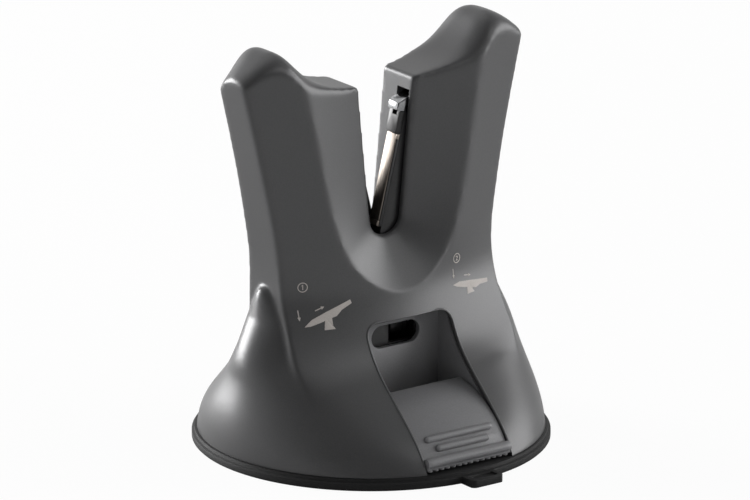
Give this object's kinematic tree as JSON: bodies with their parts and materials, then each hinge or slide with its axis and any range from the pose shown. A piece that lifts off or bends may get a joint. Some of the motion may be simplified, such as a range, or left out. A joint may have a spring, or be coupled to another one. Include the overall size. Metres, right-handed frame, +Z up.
{
  "type": "pull through knife sharpener",
  "caption": "Upright pull through knife sharpener with a V notch, crossing sprung sharpening arms and a lever that grips the worktop with a suction cup.",
  "frame": {"origin": "middle of the suction cup, on the surface that it stands on", "axes": "+Z up, -Y towards the lever in front, +X to the right tower seen from the front"},
  "size_m": [0.122, 0.128, 0.1435],
  "materials": {
    "body_plastic": "satin gunmetal",
    "dark_plastic": "fine matt",
    "guide_plastic": "natural, smooth",
    "cup_rubber": "smooth moulded",
    "steel": "plain zinc plated",
    "strip_steel": "ground",
    "cap_metal": "polished"
  },
  "bodies": {
    "body": {"housing": "body_plastic", "lever_well": "dark_plastic", "arm_cradle": "dark_plastic", "suction_cup": "cup_rubber", "base_plate": "dark_plastic", "stem_bush": "guide_plastic", "cam_plate": "steel", "cradle_screws": "steel", "base_screws": "steel", "well_screws": "steel", "pin_clips": "steel", "pin_spacer_right": "guide_plastic", "pin_spacer_left": "guide_plastic", "pivot_pin_right": "steel", "pivot_pin_left": "steel", "arm_spring_right": "steel", "arm_spring_left": "steel", "stop_pad_right": "cup_rubber", "stop_pad_left": "cup_rubber"},
    "stem": {"pull_stem": "steel", "lift_yoke": "guide_plastic", "stem_nut": "steel", "lever_pin": "steel", "lever_washers": "steel"},
    "lever": {"lever": "body_plastic"},
    "arm_right": {"arm_carrier_right": "dark_plastic", "sharpening_strip_right": "strip_steel", "foot_clip_right": "strip_steel", "strip_holder_right": "dark_plastic", "guide_cap_right": "cap_metal", "hub_bush_right": "guide_plastic"},
    "arm_left": {"arm_carrier_left": "dark_plastic", "sharpening_strip_left": "strip_steel", "foot_clip_left": "strip_steel", "strip_holder_left": "dark_plastic", "guide_cap_left": "cap_metal", "hub_bush_left": "guide_plastic"}
  },
  "joints": [
    {"name": "stem_slide", "type": "slide", "parent": "body", "child": "stem", "axis": [0, 0, 1], "range_m": [-0.003, 0], "deforming": ["suction_cup"]},
    {"name": "lever_hinge", "type": "hinge", "parent": "stem", "child": "lever", "pos_m": [0, -0.021, 0.017], "axis": [-1, 0, 0], "range_deg": [0, 65]},
    {"name": "arm_right_hinge", "type": "hinge", "parent": "body", "child": "arm_right", "pos_m": [0.006, 0, 0.056], "axis": [0, 1, 0], "range_deg": [0, 12], "stiffness_Nm_per_rad": 0.6, "springref_deg": -17.19, "deforming": ["arm_spring_right"]},
    {"name": "arm_left_hinge", "type": "hinge", "parent": "body", "child": "arm_left", "pos_m": [-0.006, 0, 0.056], "axis": [0, -1, 0], "range_deg": [0, 12], "stiffness_Nm_per_rad": 0.6, "springref_deg": -17.19, "deforming": ["arm_spring_left"]}
  ],
  "couplings": [
    {"joint": "lever_hinge", "follows": "stem_slide", "rad_per_m": -378.15}
  ]
}
